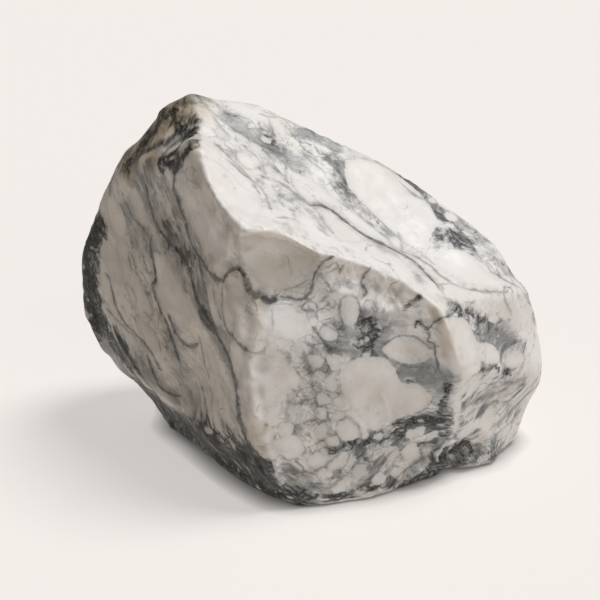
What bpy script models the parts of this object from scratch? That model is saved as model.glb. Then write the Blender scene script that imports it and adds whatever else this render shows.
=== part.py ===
"""A rough block of white marble: one stone, lying on the flat face that it was split on.

Metres, +Z up. The origin is under the middle of the stone, at the level that it rests on.
-Y is the side with the upright edge, and +X is the low end of the sloping upper face.
"""

import math
import random

import bmesh
import bpy
import numpy as np
from mathutils import Vector, noise
from mathutils.bvhtree import BVHTree

MM = 0.001

# The stone's broken corners, in millimetres, as lines that run along its edges. x is to the right,
# y is away from the upright edge and z is up.
CORNERS = {
    "far rim of the upper face, from the peak down to the low end": [
        (-111, 80, 364), (-101, 88, 361), (-77, 104, 349), (-39, 116, 340), (0, 114, 321),
        (31, 118, 306), (65, 122, 291), (84, 112, 282), (117, 118, 262), (144, 104, 244),
        (179, 96, 222), (206, 78, 203), (221, 46, 181), (236, 36, 171), (241, 38, 158), (248, 40, 137),
    ],
    "near rim of the upper face": [
        (-104, 62, 353), (-101, 34, 341), (-95, -1, 327), (-90, -33, 311), (-82, -50, 298),
        (-73, -66, 288), (-63, -80, 279), (-55, -86, 276), (-49, -90, 270), (-35, -86, 268),
        (-19, -76, 266), (-6, -74, 259), (11, -74, 249), (20, -76, 241), (32, -68, 239),
        (43, -64, 234), (59, -60, 229), (72, -56, 225), (84, -58, 217), (95, -56, 211),
        (105, -56, 205), (115, -58, 199), (124, -62, 193),
    ],
    "upper face": [
        (-49, 12, 306), (0, 20, 279), (101, 30, 226), (41, 75, 280), (108, 70, 246),
        (171, 20, 196), (146, 40, 218),
    ],
    "where the upper face turns down at the low end": [
        (141, -52, 183), (158, -38, 181), (179, -20, 178), (204, 2, 173), (223, 20, 171),
    ],
    "hollow under the overhanging brow": [
        (-69, -80, 212), (-50, -90, 210), (-32, -84, 207), (-9, -80, 203), (6, -74, 210),
    ],
    "upright edge": [
        (-42, -98, 186), (-46, -106, 169), (-46, -112, 154), (-47, -116, 133), (-46, -119, 109),
        (-44, -122, 90), (-40, -124, 74), (-27, -126, 46), (-10, -124, 18),
    ],
    "front": [
        (0, -101, 162), (47, -88, 162), (0, -109, 89), (52, -97, 109), (29, -108, 46),
        (96, -84, 98), (82, -91, 59), (112, -82, 60), (120, -64, 152), (100, -64, 175),
        (135, -70, 113), (135, -74, 81), (126, -75, 51), (110, -77, 29),
    ],
    "left end, from the foot up to the peak": [
        (-158, 62, 31), (-178, 72, 52), (-198, 82, 62), (-218, 92, 85), (-236, 104, 113),
        (-238, 110, 141), (-237, 112, 173), (-226, 112, 206), (-214, 112, 231),
        (-207, 114, 252), (-197, 114, 272), (-184, 112, 296), (-168, 108, 308),
        (-152, 100, 330), (-143, 96, 345), (-127, 88, 353),
    ],
    "rim of the left wall": [
        (-165, 19, 84), (-199, 65, 110), (-217, 92, 136), (-217, 100, 177), (-212, 101, 212),
        (-200, 94, 247), (-182, 80, 288), (-138, 30, 306), (-106, -1, 334),
    ],
    "chamfer along the foot of the left wall": [
        (-146, 52, 28), (-120, -16, 60), (-90, -66, 52), (-60, -96, 46), (-33, -120, 26),
    ],
    "knob at the low end": [
        (133, -66, 186), (139, -72, 173), (145, -74, 149), (155, -70, 122), (167, -52, 108),
    ],
    "low end": [
        (200, -24, 100), (246, 22, 87), (177, -30, 149), (212, 5, 136), (252, 44, 120),
        (255, 46, 103), (255, 46, 78), (254, 43, 58), (243, 40, 41), (234, 34, 17), (228, 22, 4),
        (180, -36, 76), (209, -8, 63), (179, -38, 44), (206, -12, 21),
    ],
    "fold above the right foot": [
        (151, -64, 100), (150, -67, 85), (149, -65, 68), (152, -58, 52), (166, -46, 49),
        (154, -57, 41), (142, -64, 32), (129, -70, 23), (115, -75, 13),
    ],
    "groove under the fold": [(174, -26, 30), (162, -32, 22), (150, -38, 12), (138, -44, 5)],
    "right foot": [(188, -28, 26), (182, -32, 14), (166, -40, 9), (197, -20, 13)],
    "foot, all on the ground": [
        (0, -122, 0), (29, -118, 0), (59, -105, 0), (99, -83, 0), (126, -66, 0), (141, -58, 0), (165, -43, 0),
        (190, -38, 0), (206, -26, 0), (212, 90, 0), (150, 150, 0), (60, 200, 0), (-40, 200, 0),
        (-140, 130, 0), (-142, 57, 0), (-105, 13, 0), (-76, -40, 0), (-34, -93, 0),
    ],
    "back": [
        (-150, 165, 290), (-70, 190, 315), (0, 196, 285), (60, 215, 240), (125, 200, 205),
        (208, 75, 172), (182, 165, 150), (-212, 180, 205), (-190, 190, 95), (-115, 185, 15),
        (-60, 238, 175), (45, 240, 135), (212, 120, 80), (150, 180, 30),
    ],
}
CORE = Vector((0, 50, 170))  # a point inside, from which every part of the surface can be seen

# Shallow scoops where flakes have come off: x, y and z of the middle, radius and depth, in millimetres.
SCOOPS = {
    "flakes off the near rim": [
        (43, -63, 221, 20, 5), (66, -57, 211, 15, 4), (89, -57, 198, 20, 6), (108, -57, 188, 14, 4),
        (-4, -76, 246, 16, 3), (-64, -66, 268, 16, 3), (-90, -20, 305, 18, 3),
    ],
    "front": [(76, -92, 102, 34, 4), (105, -72, 142, 36, 4), (18, -100, 96, 44, 3), (40, -100, 30, 30, 3)],
    "upper face": [(0, 55, 300, 60, 4), (40, 20, 266, 50, 3), (120, 30, 225, 55, 4), (180, -2, 183, 40, 3)],
    "left wall": [
        (-118, -11, 226, 45, 4), (-98, -52, 105, 42, 4), (-150, 36, 263, 40, 3), (-140, 9, 178, 52, 4),
        (-180, 60, 200, 40, 3),
    ],
    "low end": [(201, -12, 121, 30, 3), (185, -34, 72, 34, 4)],
}
SCATTERED_SCOOPS = 90
SCATTERED_RADIUS = (18, 55)
SCATTERED_DEPTH = (1.0, 3.2)
SCATTER_SEED = 11
SWELLS = ((70, 2.4), (26, 0.9))  # wavelength and height of the soft unevenness, in millimetres

GRID = 72  # quads along each side of the six patches that cover the stone
SOFT_RIMS = (2, 0.5)  # passes and share of smoothing, which rounds every edge
GIVEN_BACK = 1.2 * MM  # what the smoothing takes off all round, added before it
FOOT_BLEND = 4  # the larger it is, the narrower the band in which the scoops fade out towards the foot
TRIANGLES = 9600


def cage():
    """A closed mesh of flat faces through all the corners, hollows included. The faces between the corners
    are those of the hull that the corners make once they are all set at one distance from the core."""
    corners = [Vector(p) for line in CORNERS.values() for p in line]
    mesh = bmesh.new()
    placed = {}
    for corner in corners:
        placed[mesh.verts.new((corner - CORE).normalized())] = corner
    bmesh.ops.convex_hull(mesh, input=mesh.verts)
    for vert, corner in placed.items():
        vert.co = corner * MM
    bmesh.ops.recalc_face_normals(mesh, faces=mesh.faces)
    return mesh


def covered(cage_mesh):
    """A fine, even grid laid over the cage."""
    mesh = bmesh.new()
    bmesh.ops.create_cube(mesh, size=2)
    bmesh.ops.subdivide_edges(mesh, edges=mesh.edges, cuts=GRID - 1, use_grid_fill=True)
    tree = BVHTree.FromBMesh(cage_mesh)
    core = CORE * MM
    for vert in mesh.verts:
        way = Vector([math.tan(c * math.pi / 4) for c in vert.co]).normalized()
        vert.co = tree.ray_cast(core, way)[0]
    return mesh


def all_scoops(mesh):
    """The placed scoops, and smaller ones scattered over the whole stone, each as middle, radius and depth."""
    placed = [(Vector(s[:3]) * MM, s[3] * MM, s[4] * MM) for group in SCOOPS.values() for s in group]
    chance = random.Random(SCATTER_SEED)
    verts = list(mesh.verts)
    scattered = [
        (
            chance.choice(verts).co.copy(),
            chance.uniform(*SCATTERED_RADIUS) * MM,
            chance.uniform(*SCATTERED_DEPTH) * MM,
        )
        for _ in range(SCATTERED_SCOOPS)
    ]
    return placed + scattered


def depth_at(point, scoops):
    """Where two scoops meet the deeper one counts, which leaves a crease between them."""
    cuts = (deepest * (1 - (point - middle).length_squared / radius**2) for middle, radius, deepest in scoops)
    return max(0.0, *cuts)


def scoop_out(mesh):
    """Sinks the scoops and raises the soft swells. The foot stays as flat as it is."""
    mesh.normal_update()
    scoops = all_scoops(mesh)
    moves = {}
    for vert in mesh.verts:
        swell = sum(height * MM * noise.noise(vert.co / (length * MM)) for length, height in SWELLS)
        freedom = min(1.0, FOOT_BLEND * (1 + vert.normal.z))
        moves[vert] = vert.normal * freedom * (GIVEN_BACK + swell - depth_at(vert.co, scoops))
    for vert, move in moves.items():
        vert.co += move


def round_edges(mesh):
    passes, share = SOFT_RIMS
    for _ in range(passes):
        bmesh.ops.smooth_vert(
            mesh, verts=mesh.verts, factor=share, use_axis_x=True, use_axis_y=True, use_axis_z=True
        )


def flatten_foot(mesh):
    for vert in mesh.verts:
        vert.co.z = max(0.0, vert.co.z)


def centre_on_foot(mesh):
    """Puts the origin under the middle of the stone."""
    points = np.array([v.co for v in mesh.verts])
    middle = (points.min(axis=0) + points.max(axis=0)) / 2
    bmesh.ops.translate(mesh, vec=(-middle[0], -middle[1], 0), verts=mesh.verts)


def marble():
    material = bpy.data.materials.new("marble")
    material.use_nodes = True
    shader = material.node_tree.nodes["Principled BSDF"]
    shader.inputs["Base Color"].default_value = (0.68, 0.66, 0.63, 1)
    shader.inputs["Roughness"].default_value = 0.45
    shader.inputs["Metallic"].default_value = 0.0
    return material


def build():
    for obj in list(bpy.data.objects):
        bpy.data.objects.remove(obj)
    mesh = covered(cage())
    scoop_out(mesh)
    round_edges(mesh)
    flatten_foot(mesh)
    centre_on_foot(mesh)
    data = bpy.data.meshes.new("marble_block")
    mesh.to_mesh(data)
    data.materials.append(marble())
    stone = bpy.data.objects.new("marble_block", data)
    bpy.context.scene.collection.objects.link(stone)
    fewer = stone.modifiers.new("fewer faces", "DECIMATE")
    fewer.ratio = TRIANGLES / (2 * len(data.polygons))
    fewer.use_collapse_triangulate = True


build()
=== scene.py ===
"""A rough block of white brecciated marble: the stone's fine surface, its markings, its light and its camera.

Metres, +Z up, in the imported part's own frame. The stone is one fine mesh laid over the part's solid.
Its markings are the strokes and outlines named below. Each is given by pixels of the 600 x 600 picture, is
cast onto the stone once, and from then on is a place on the stone itself, kept in attributes of its vertices.
"""

import math
import random

import bmesh
import bpy
import numpy as np
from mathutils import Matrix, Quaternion, Vector, noise
from mathutils.bvhtree import BVHTree


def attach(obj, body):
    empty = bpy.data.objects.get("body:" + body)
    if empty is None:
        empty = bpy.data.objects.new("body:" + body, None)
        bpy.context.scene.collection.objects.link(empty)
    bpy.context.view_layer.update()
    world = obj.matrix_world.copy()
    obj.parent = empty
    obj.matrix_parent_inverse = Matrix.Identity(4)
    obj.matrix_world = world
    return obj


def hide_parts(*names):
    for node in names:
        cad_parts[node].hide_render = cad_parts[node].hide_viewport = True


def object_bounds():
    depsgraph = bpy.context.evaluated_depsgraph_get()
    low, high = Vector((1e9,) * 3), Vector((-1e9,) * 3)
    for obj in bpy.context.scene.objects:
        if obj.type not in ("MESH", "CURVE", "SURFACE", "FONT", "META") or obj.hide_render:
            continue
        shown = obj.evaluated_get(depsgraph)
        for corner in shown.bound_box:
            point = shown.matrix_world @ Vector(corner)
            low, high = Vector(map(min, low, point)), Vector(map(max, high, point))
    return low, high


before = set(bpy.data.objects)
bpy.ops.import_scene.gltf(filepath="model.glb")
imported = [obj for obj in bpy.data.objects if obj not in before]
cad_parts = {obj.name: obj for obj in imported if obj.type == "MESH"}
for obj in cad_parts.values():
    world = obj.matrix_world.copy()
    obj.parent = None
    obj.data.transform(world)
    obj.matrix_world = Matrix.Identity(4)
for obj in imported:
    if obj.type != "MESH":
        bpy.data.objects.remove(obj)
cad_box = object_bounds()

MM = 0.001

# The camera: where it looks, from how far and how steeply, and its lens.
PICTURE = 600
LENS, SENSOR = 85.0, 36.0
LOOKS_AT = Vector((-0.00904, -0.05756, 0.170))
DISTANCE = 1.4167
ELEVATION = math.radians(20)
AHEAD = Vector((0, math.cos(ELEVATION), -math.sin(ELEVATION)))
UP = Vector((0, math.sin(ELEVATION), math.cos(ELEVATION)))
CAMERA = LOOKS_AT - AHEAD * DISTANCE
FOCAL = LENS / SENSOR * PICTURE  # the focal length in pixels
MIDDLE = PICTURE / 2

# The fine mesh.
GRID = 126  # quads along each side of the six patches that cover the stone
INSIDE = Vector((-0.004, -0.030, 0.180))  # a point inside, nearer the side with the most detail
SMOOTHING = (2, 0.5)  # passes and share

# Finer relief than the solid has. Scoops: pixel of the middle, then radius and depth in millimetres.
SCOOPS = {
    "upright edge, from the left": [(249, 328, 12, 2.4), (257, 430, 11, 3.0), (249, 344, 7, 1.4)],
    "upright edge, from the right": [
        (259, 366, 10, 2.8), (256, 392, 11, 3.0), (262, 410, 8, 1.6), (262, 344, 7, 1.2),
    ],
    "brow": [(268, 264, 26, 8.2), (247, 246, 12, 3.0), (219, 232, 10, 1.8)],
    "near rim, from below": [(284, 245, 14, 6.0), (300, 250, 11, 3.4), (268, 242, 12, 4.2)],
    "lower rim of the left end": [
        (97, 322, 9, 1.0), (110, 350, 9, 1.2), (130, 378, 9, 1.4), (150, 402, 9, 1.2),
    ],
    "flakes off the near rim": [
        (357, 272, 12, 2.6), (394, 288, 10, 2.8), (412, 289, 11, 2.4), (337, 268, 9, 1.8),
        (300, 245, 14, 1.4), (370, 296, 14, 1.8), (388, 303, 9, 1.5), (344, 285, 10, 1.3),
        (424, 302, 8, 1.6), (262, 240, 15, 1.8), (232, 222, 10, 1.4), (214, 190, 10, 1.4),
        (203, 160, 9, 1.2), (199, 130, 8, 1.2),
    ],
    "shell-shaped scar under the brow": [(284, 264, 40, 6.0), (243, 262, 18, 2.4), (215, 246, 16, 1.8)],
    "front": [
        (330, 330, 30, 1.4), (395, 325, 16, 1.6), (300, 440, 32, 1.6), (360, 462, 26, 1.6),
        (275, 395, 20, 1.2),
    ],
    "knob": [(446, 340, 9, 1.6), (475, 340, 20, 1.4), (452, 308, 9, 1.4), (502, 352, 14, 1.2)],
    "hollow beside the fold": [(452, 457, 15, 5.0), (438, 471, 12, 4.0), (466, 448, 10, 3.0)],
    "low end": [(500, 385, 22, 2.0), (520, 410, 18, 2.0), (485, 415, 16, 2.0), (480, 455, 12, 1.4)],
    "left wall": [(203, 380, 12, 1.4), (150, 300, 24, 1.4), (118, 230, 20, 1.4), (150, 160, 16, 1.6)],
}
# Raised (+) or sunk (-) lines: half width and height in millimetres, then the pixels that the line passes.
RIDGES = {
    "brow, edge of a facet": (4, 1.6, [(240, 231), (240, 244), (242, 259)]),
    "brow, crease": (4, -1.4, [(285, 243), (285, 254), (282, 266)]),
    "lower rim of the left end": (8, 3.5, [(91, 318), (98, 336), (106, 350)]),
    "foot, far corner": (10, 2.0, [(160, 404), (166, 413), (174, 424)]),
    "foot of the left wall": (10, 4.0, [
        (174, 424), (190, 436), (206, 448), (222, 461), (238, 472), (254, 482), (270, 490), (286, 496),
    ]),
    "foot by the groove": (9, 6.0, [(408, 474), (418, 467), (428, 458), (438, 461), (448, 463)]),
    "right foot": (8, 4.0, [(456, 462), (466, 461), (477, 457), (486, 449)]),
    "upright edge, high": (9, 1.0, [(257, 312), (259, 326), (256, 342)]),
    "upright edge, middle": (10, 1.4, [(251, 358), (250, 370), (251, 381)]),
    "upright edge, low": (9, 1.8, [(252, 394), (254, 410), (257, 426)]),
    "upright edge, lowest": (9, 1.4, [(262, 442), (268, 460), (275, 476)]),
    "fan, left": (4, 1.4, [(383, 277), (380, 290), (376, 311)]),
    "fan, right": (4, 1.2, [(384, 278), (391, 292), (399, 309)]),
    "facet by the hook": (4, 1.2, [(350, 262), (352, 273), (350, 286)]),
    "facet by the hook, right": (4, 1.0, [(372, 264), (366, 275), (352, 287)]),
    "notch under the rim": (5, -1.6, [(402, 283), (398, 292), (394, 302)]),
    "beside the upright edge": (8, -1.2, [(246, 330), (241, 360), (241, 400), (248, 438)]),
    "ledge of the left wall": (4, -0.9, [(112, 291), (119, 312), (136, 334), (149, 348), (160, 368)]),
    "middle of the left wall": (4, -0.8, [(153, 258), (156, 280), (161, 311), (170, 333), (176, 352)]),
    "rib between two scars": (4, 1.3, [(228, 224), (228, 240), (227, 257)]),
    "crease on the great clast": (3, 0.9, [(381, 395), (385, 403), (388, 413)]),
    "edge of the knob": (6, 0.7, [(434, 300), (443, 318), (450, 340), (458, 362)]),
    "lip of the fold": (4, 1.4, [(455, 392), (452, 412), (453, 432), (440, 448), (420, 466)]),
    "shadow line of the groove": (4, -1.6, [(466, 440), (450, 452), (434, 464)]),
    "near rim, from the peak down": (6, 1.2, [
        (197, 112), (201, 140), (205, 172), (213, 194), (228, 213), (245, 230),
    ]),
    "near rim, middle": (6, 0.3, [
        (245, 230), (262, 232), (280, 232), (296, 238), (312, 249), (334, 257),
    ]),
    "near rim, low": (6, 0.9, [(334, 257), (362, 264), (388, 275), (410, 287), (430, 299)]),
    "rim of the left wall": (5, 1.6, [
        (96, 245), (98, 272), (102, 300), (112, 324), (122, 346), (136, 370), (150, 392),
    ]),
    "beside the knob": (8, -2.6, [(431, 312), (435, 334), (439, 356), (446, 374)]),
    "flute of the left wall": (9, -1.2, [(199, 335), (203, 365), (206, 395), (208, 425)]),
}
SCATTERED = (260, (9, 26), 0.045, 21)  # how many small scoops, radii in millimetres, depth to radius, seed
CHIPS = (420, (2.5, 8.0), 0.16, 22)  # the same for the chips off sharp edges
SHARP = 0.94  # the share of the surface that is too flat for such chips
UNEVENNESS = ((38, 0.55), (15, 0.3), (6, 0.11))  # wavelength and height, in millimetres
SHARP_PASSES = 8  # how often the surface is smoothed to find what stands out from it
DEPTHS = (0.5, 1.3)  # the depth of a small scoop or a chip is varied by this much
FOOT_BLEND = 2  # the larger it is, the narrower the band in which the relief fades out towards the foot

# Veins: half width in millimetres, darkness from 0 to 1, then the pixels that the vein passes.
VEINS = {
    "top, diagonal 1": (0.9, 0.5, [
        (214, 142), (224, 152), (234, 162), (246, 174), (254, 184), (260, 196),
    ]),
    "top, diagonal 2": (0.8, 0.4, [(262, 148), (270, 158), (276, 168), (284, 176)]),
    "top, diagonal 3": (0.8, 0.4, [(300, 150), (310, 160), (322, 170), (330, 182), (336, 192)]),
    "top, long vein": (1.7, 0.9, [
        (310, 205), (323, 206), (335, 213), (350, 225), (364, 235), (380, 243), (392, 249), (400, 253),
        (415, 262), (425, 272), (436, 284),
    ]),
    "top, long vein, upper": (1.2, 0.6, [
        (256, 184), (262, 177), (271, 179), (284, 185), (296, 194), (310, 205),
    ]),
    "top, under the right clast": (1.1, 0.6, [
        (400, 251), (414, 256), (428, 264), (440, 275), (454, 284), (472, 290), (492, 292), (508, 291),
    ]),
    "top, net 3": (0.9, 0.5, [(398, 232), (402, 244), (400, 253)]),
    "from the peak": (2.2, 0.9, [
        (178, 160), (177, 168), (174, 179), (174, 190), (178, 200), (181, 209), (186, 222),
    ]),
    "from the peak, branch": (1.6, 0.75, [(188, 134), (180, 140), (170, 147), (162, 156)]),
    "flow, left edge": (1.8, 0.9, [
        (146, 184), (149, 198), (152, 212), (157, 226), (169, 241), (179, 253), (187, 264), (192, 280),
        (195, 292),
    ]),
    "flow, right edge": (1.6, 0.85, [(186, 222), (189, 236), (193, 246), (198, 254)]),
    "flow, middle": (1.1, 0.55, [(160, 200), (165, 216), (171, 230), (180, 244), (190, 256), (199, 268)]),
    "flow, thread": (0.9, 0.5, [(154, 192), (160, 212), (168, 232), (176, 246)]),
    "main vein": (2.8, 1.0, [
        (192, 280), (195, 293), (201, 306), (207, 317), (214, 328), (220, 341), (227, 352), (231, 364),
        (235, 381), (237, 400), (240, 420), (245, 436), (251, 450), (258, 464), (268, 477), (282, 490),
    ]),
    "main vein, second strand": (1.2, 0.8, [(198, 256), (201, 272), (205, 290), (209, 306), (214, 326)]),
    "wavy vein": (3.2, 1.0, [
        (196, 253), (203, 262), (209, 272), (216, 278), (223, 280), (227, 274), (233, 269), (240, 270),
        (244, 275), (247, 284), (250, 292), (256, 295), (262, 296), (267, 301), (273, 300), (277, 296),
    ]),
    "wavy vein, up to the rim": (1.6, 0.9, [
        (281, 297), (290, 298), (301, 299), (308, 295), (312, 287), (313, 278), (317, 271), (322, 263),
        (327, 260), (334, 256),
    ]),
    "wavy vein, faint branch": (0.8, 0.4, [(284, 291), (297, 286), (309, 279)]),
    "down to the edge": (1.0, 0.7, [(223, 282), (222, 300), (223, 316), (226, 328)]),
    "down to the edge, bold": (1.7, 0.85, [(226, 328), (233, 337), (240, 345), (247, 351)]),
    "past the edge": (0.9, 0.5, [(247, 351), (256, 353), (266, 350)]),
    "beside it": (0.8, 0.6, [(213, 283), (214, 296), (217, 308), (221, 320)]),
    "left wall, middle": (1.7, 0.95, [
        (151, 238), (150, 249), (153, 258), (155, 268), (156, 280), (153, 284), (153, 289), (156, 299),
        (161, 311), (167, 323), (170, 333), (174, 343), (176, 352), (180, 362),
    ]),
    "left wall, middle branch": (1.7, 0.9, [
        (168, 314), (173, 327), (179, 338), (186, 345), (192, 347), (198, 344),
    ]),
    "left wall, ledge": (1.0, 0.75, [
        (105, 273), (110, 280), (112, 291), (114, 301), (119, 312), (123, 321), (136, 334), (149, 348),
        (156, 361), (162, 372),
    ]),
    "left wall, ledge, double": (0.8, 0.6, [(107, 309), (116, 318), (126, 329), (138, 341)]),
    "left wall, under the ledge": (1.8, 0.95, [
        (113, 328), (119, 342), (125, 352), (133, 362), (140, 373), (148, 384), (155, 392), (161, 404),
        (168, 420), (178, 430),
    ]),
    "left wall, short and dark": (1.6, 0.9, [
        (147, 354), (151, 366), (156, 379), (163, 390), (172, 394), (182, 397),
    ]),
    "crack 1": (0.8, 1.0, [
        (415, 329), (418, 322), (423, 326), (427, 331), (431, 327), (436, 322), (445, 317), (454, 313),
        (457, 306),
    ]),
    "crack 2": (0.8, 1.0, [(427, 331), (429, 335), (428, 341), (434, 345), (435, 356), (439, 366)]),
    "crack 3": (0.7, 0.8, [(420, 319), (424, 330), (430, 338)]),
    "front, hook": (1.3, 0.8, [(371, 267), (363, 277), (361, 283), (366, 291), (363, 296)]),
    "left wall, first from the left": (1.3, 0.75, [
        (125, 148), (118, 158), (114, 168), (110, 180), (110, 195),
    ]),
    "left wall, second": (1.0, 0.6, [
        (122, 192), (124, 200), (128, 207), (131, 214), (135, 221), (142, 226), (147, 234), (150, 240),
    ]),
    "left wall, short": (0.9, 0.6, [(163, 222), (168, 233), (175, 245)]),
    "beside the edge, low": (0.8, 0.5, [(209, 385), (212, 400), (211, 410)]),
    "beside the edge, low left": (0.8, 0.5, [(202, 385), (204, 398), (206, 410)]),
    "beside the edge, lowest": (0.8, 0.55, [(221, 420), (226, 435), (232, 447)]),
    "beside the edge, high": (0.8, 0.45, [(199, 335), (202, 350), (205, 365), (210, 380)]),
    "weak, upper left": (0.7, 0.4, [(128, 255), (130, 263), (133, 272)]),
    "weak, left": (0.7, 0.4, [(140, 270), (148, 283), (150, 290)]),
    "weak, left lower": (0.7, 0.45, [(126, 283), (133, 290), (136, 300), (135, 308)]),
    "weak, left middle": (0.7, 0.45, [(143, 311), (150, 318), (155, 325), (157, 335)]),
    "foot line": (1.0, 0.7, [(220, 447), (232, 450), (240, 458)]),
    "top, outer line": (1.2, 0.55, [
        (225, 159), (233, 164), (242, 173), (251, 180), (257, 185), (264, 193), (268, 202), (271, 210),
    ]),
    "top, around the first lens": (0.9, 0.4, [
        (226, 145), (234, 154), (243, 166), (251, 169), (260, 166), (262, 160),
    ]),
    "top, between the lenses": (0.9, 0.45, [(244, 146), (254, 155), (260, 162), (264, 169), (266, 177)]),
    "top, net 1": (0.9, 0.45, [(271, 184), (276, 192), (280, 200), (284, 207)]),
    "top, net 2": (0.8, 0.4, [(287, 166), (286, 177), (289, 184)]),
    "top, branch": (0.9, 0.5, [(314, 207), (321, 217), (327, 226), (334, 234)]),
    "top, at the rim": (0.8, 0.45, [(276, 217), (289, 218), (297, 220), (299, 224)]),
    "top, dark threads 1": (1.0, 0.6, [
        (230, 126), (240, 133), (251, 140), (262, 146), (274, 151), (284, 155),
    ]),
    "top, dark threads 2": (0.8, 0.5, [(214, 118), (222, 128), (230, 137)]),
    "top, dark threads 3": (0.8, 0.5, [(258, 129), (266, 131), (273, 135)]),
    "top, second long vein": (0.9, 0.4, [
        (375, 216), (385, 225), (395, 235), (400, 240), (412, 248), (424, 256), (435, 265),
    ]),
    "over the rim": (1.1, 0.6, [(312, 246), (316, 252), (320, 258)]),
    "right rim 1": (0.8, 0.55, [(505, 286), (505, 300), (512, 315)]),
    "right rim 2": (0.8, 0.55, [(485, 260), (492, 272), (505, 280), (520, 288), (528, 300)]),
    "right rim 3": (0.8, 0.5, [(510, 270), (522, 285), (530, 300), (536, 312), (540, 325)]),
    "far rim": (1.4, 0.7, [(402, 184), (415, 195), (428, 202), (438, 212), (445, 224)]),
    "front, fleck": (1.4, 0.6, [(339, 273), (344, 265)]),
    "front, clast edge": (0.8, 0.6, [
        (342, 298), (348, 296), (355, 297), (359, 302), (361, 311), (358, 319), (357, 328),
    ]),
    "front, clast edge left": (0.8, 0.6, [
        (342, 298), (339, 306), (340, 315), (343, 322), (341, 328), (334, 330), (328, 326),
    ]),
    "front, arc": (0.8, 0.5, [(336, 303), (332, 308), (326, 312), (320, 312)]),
    "front, arc left": (0.7, 0.45, [(308, 305), (311, 310), (316, 313)]),
    "front, dark stroke": (1.8, 0.75, [(312, 327), (318, 335), (324, 343), (329, 349), (331, 355)]),
    "front, faint 1": (0.7, 0.35, [(272, 308), (273, 320), (272, 332)]),
    "front, faint 2": (0.7, 0.4, [(253, 298), (256, 305), (257, 312)]),
    "front, faint 3": (0.7, 0.35, [(287, 257), (290, 268), (292, 276)]),
    "front, low vein": (1.0, 0.55, [(287, 395), (290, 403), (300, 404), (308, 402), (314, 395)]),
    "front, column": (2.2, 0.55, [
        (303, 352), (306, 362), (311, 374), (313, 385), (315, 400), (317, 415),
    ]),
    "front, round outline": (0.9, 0.65, [
        (338, 421), (348, 417), (356, 423), (360, 432), (361, 442), (357, 452),
    ]),
    "foot of the knob": (0.9, 0.6, [(435, 360), (440, 372), (450, 382), (462, 380)]),
    "clast edge, right": (0.8, 0.55, [(380, 350), (388, 341), (405, 336), (420, 339), (431, 350)]),
    "clast edge, below": (0.8, 0.5, [(380, 352), (390, 361), (405, 366), (420, 368)]),
    "low end, dark arc": (2.0, 0.45, [
        (462, 411), (473, 402), (486, 396), (501, 391), (515, 382), (526, 378),
    ]),
    "low end, second arc": (1.4, 0.4, [(466, 416), (476, 410), (486, 406), (498, 401)]),
    "low end, outer arc": (1.2, 0.45, [
        (491, 428), (501, 421), (511, 411), (522, 400), (531, 388), (537, 378),
    ]),
    "low end, thread": (0.9, 0.4, [(484, 442), (496, 434), (508, 424), (520, 410)]),
    "low front, swirl 1": (1.6, 0.55, [(300, 478), (318, 470), (334, 458), (346, 444)]),
    "low front, swirl 2": (1.4, 0.55, [(322, 492), (340, 480), (354, 466), (366, 450), (384, 440)]),
    "low front, swirl 3": (1.5, 0.6, [(352, 492), (366, 484), (378, 470), (388, 456), (402, 444)]),
    "low front, swirl 4": (1.5, 0.6, [(392, 482), (408, 468), (424, 458), (440, 446), (450, 434)]),
}

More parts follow.
